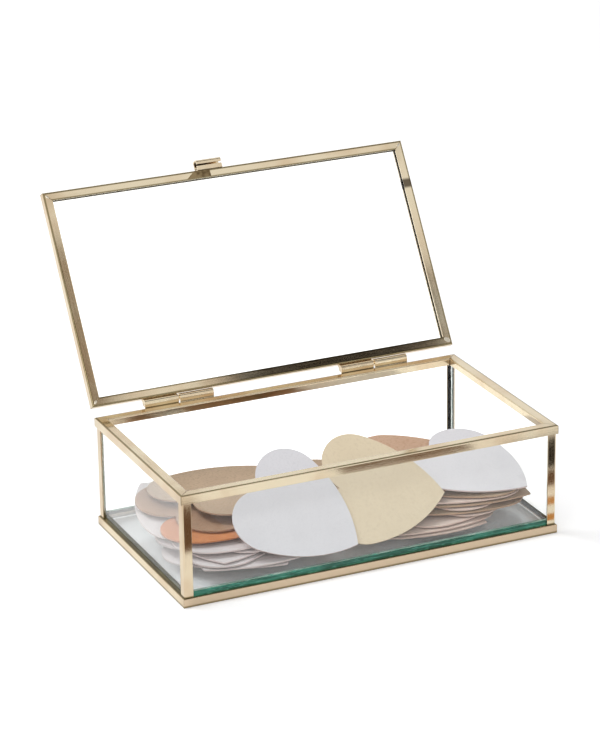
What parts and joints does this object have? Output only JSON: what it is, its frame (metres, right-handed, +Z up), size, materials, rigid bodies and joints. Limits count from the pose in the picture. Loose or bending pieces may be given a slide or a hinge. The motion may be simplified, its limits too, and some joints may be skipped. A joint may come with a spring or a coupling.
{
  "type": "wedding card box",
  "caption": "Clear glass keepsake box in a thin brass frame with a hinged glass lid standing open on its stop, holding loose heart-shaped guest cards.",
  "frame": {"origin": "bottom centre of the whole opened box: the plane it stands on, midway along its length and midway between the front face and the furthest point of the open lid", "axes": "+X along the box's long side, +Y from the front face towards the hinges, +Z up"},
  "size_m": [0.22, 0.1982, 0.1762],
  "materials": {
    "brass": "satin pale gold plate on folded brass strip",
    "clear_glass": "clear polished sheet glass",
    "floor_glass": "clear polished sheet glass, green at its cut edge",
    "white_card": "smooth uncoated white card",
    "cream_card": "uncoated cream card with a faint grain",
    "kraft_card": "unbleached brown card",
    "copper_card": "copper-orange card"
  },
  "bodies": {
    "box": {"base_rail_front": "brass", "base_rail_back": "brass", "base_rail_left": "brass", "base_rail_right": "brass", "rim_rail_front": "brass", "rim_rail_back": "brass", "rim_rail_left": "brass", "rim_rail_right": "brass", "post_front_left": "brass", "post_front_right": "brass", "post_back_left": "brass", "post_back_right": "brass", "floor_glass": "floor_glass", "front_glass": "clear_glass", "back_glass": "clear_glass", "left_glass": "clear_glass", "right_glass": "clear_glass", "box_knuckle_left": "brass", "box_knuckle_right": "brass", "hinge_pin_left": "brass", "hinge_pin_right": "brass", "left_card_1": "white_card", "left_card_2": "white_card", "left_card_3": "white_card", "left_card_4": "white_card", "left_card_5": "white_card", "left_card_6": "white_card", "left_card_7": "white_card", "left_card_8": "copper_card", "left_card_9": "kraft_card", "left_card_top": "kraft_card", "right_card_1": "white_card", "right_card_2": "white_card", "right_card_3": "white_card", "right_card_4": "white_card", "right_card_5": "kraft_card", "right_card_6": "white_card", "right_card_7": "kraft_card", "right_card_8": "white_card", "right_card_9": "kraft_card", "right_card_top": "white_card", "front_card_white": "white_card", "front_card_cream": "cream_card"},
    "lid": {"lid_rail_front": "brass", "lid_rail_back": "brass", "lid_rail_left": "brass", "lid_rail_right": "brass", "lid_glass": "clear_glass", "lid_knuckle_left": "brass", "lid_knuckle_right": "brass", "pull_tab": "brass"}
  },
  "joints": [
    {"name": "lid_hinge", "type": "hinge", "parent": "box", "child": "lid", "pos_m": [0, 0.02613, 0.0652], "axis": [1, 0, 0], "range_deg": [0, 122.7]}
  ]
}
